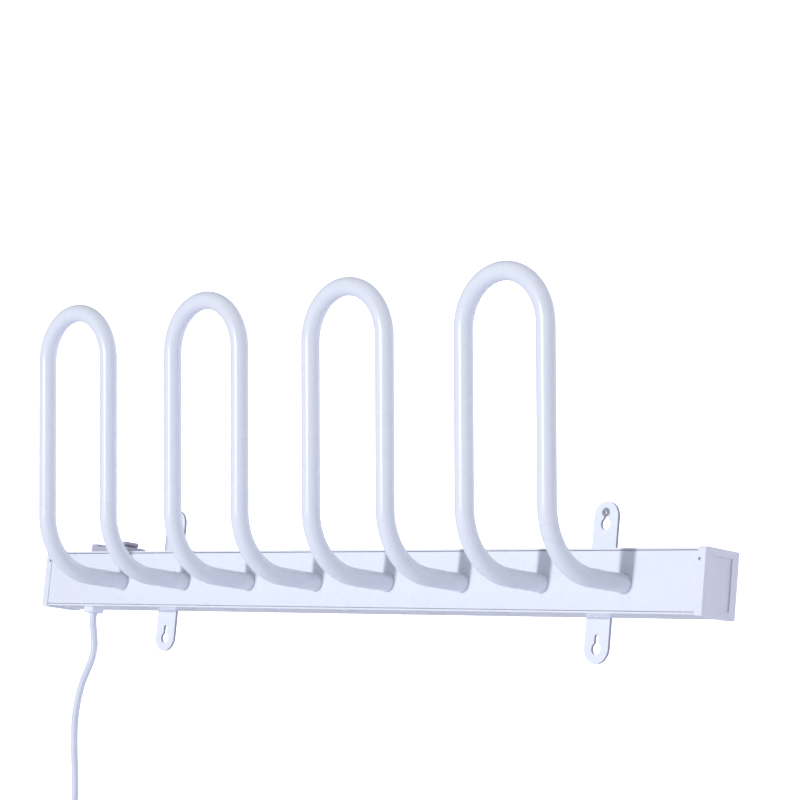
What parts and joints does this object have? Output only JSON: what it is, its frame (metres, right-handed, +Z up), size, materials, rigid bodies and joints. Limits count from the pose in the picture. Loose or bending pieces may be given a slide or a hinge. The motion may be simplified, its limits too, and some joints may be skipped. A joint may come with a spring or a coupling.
{
  "type": "wall-mounted boot dryer",
  "caption": "Long white sheet-steel box held to a wall by keyhole straps, with upright heated tube hoops along its front that boots hang on, a rocker switch and a mains cord.",
  "frame": {"origin": "on the wall plane, at the centre of the rectangle of the straps' four keyhole entry holes", "axes": "+X along the box to its right-hand end, +Y into the wall, +Z up; the hoops stand out towards -Y"},
  "size_m": [0.79, 0.1628, 0.576],
  "materials": {
    "powder_white": "gloss powder coat",
    "cap_white": "moulded, slight sheen",
    "zinc_steel": "zinc plated",
    "galvanised_steel": "galvanised",
    "heater_sheath": "silicone sheath",
    "insulator_cream": "matte",
    "wire_brown": "insulated wire",
    "wire_blue": "insulated wire",
    "wire_green": "insulated wire",
    "core_grey": "sheath and cores",
    "terminal_brass": "bright",
    "cutout_phenolic": "matte",
    "switch_grey": "satin",
    "rocker_grey": "satin",
    "switch_black": "matte",
    "contact_copper": "bright copper alloy",
    "seal_rubber": "matte",
    "cord_white": "satin sheath",
    "tie_black": "matte",
    "plug_white": "satin"
  },
  "bodies": {
    "base": {"housing_channel": "powder_white", "front_panel": "powder_white", "end_cap_left": "cap_white", "end_cap_right": "cap_white", "cap_screws": "zinc_steel", "tube_carrier": "galvanised_steel", "tube_lock_rings": "zinc_steel", "hoop_1": "powder_white", "hoop_2": "powder_white", "hoop_3": "powder_white", "hoop_4": "powder_white", "heating_cable_1": "heater_sheath", "heating_cable_2": "heater_sheath", "heating_cable_3": "heater_sheath", "heating_cable_4": "heater_sheath", "cable_bushings": "insulator_cream", "heater_live_bus": "wire_brown", "heater_neutral_bus": "wire_blue", "neutral_feed_wire": "wire_blue", "switched_live_wire": "wire_brown", "live_feed_wire": "wire_brown", "earth_wire": "wire_green", "earth_screw": "terminal_brass", "supply_cores": "core_grey", "terminal_block": "insulator_cream", "terminal_screws": "terminal_brass", "thermal_cutout": "cutout_phenolic", "cutout_screws": "zinc_steel", "switch_frame": "switch_grey", "switch_body": "switch_black", "switch_terminals": "terminal_brass", "cord_gland": "cap_white", "gland_seal": "seal_rubber", "gland_nut": "cap_white", "power_cord": "cord_white", "cord_coil": "cord_white", "cord_tail": "cord_white", "cord_tie": "tie_black", "plug_body": "plug_white", "plug_pins": "zinc_steel", "plug_earth_clips": "zinc_steel", "strap_left": "powder_white", "strap_right": "powder_white", "strap_rivets": "zinc_steel", "wall_screw": "zinc_steel"},
    "rocker": {"switch_rocker": "rocker_grey", "rocker_plunger": "zinc_steel", "plunger_spring": "zinc_steel"},
    "contact_arm": {"switch_contact_arm": "contact_copper"}
  },
  "joints": [
    {"name": "rocker_hinge", "type": "hinge", "parent": "base", "child": "rocker", "pos_m": [-0.3105, -0.023, 0.0275], "axis": [0, 1, 0], "range_deg": [0, 18]},
    {"name": "contact_arm_hinge", "type": "hinge", "parent": "base", "child": "contact_arm", "pos_m": [-0.3105, -0.023, 0.013], "axis": [0, 1, 0], "range_deg": [-12, 0]}
  ],
  "couplings": [
    {"joint": "contact_arm_hinge", "follows": "rocker_hinge", "ratio": -0.6666}
  ]
}
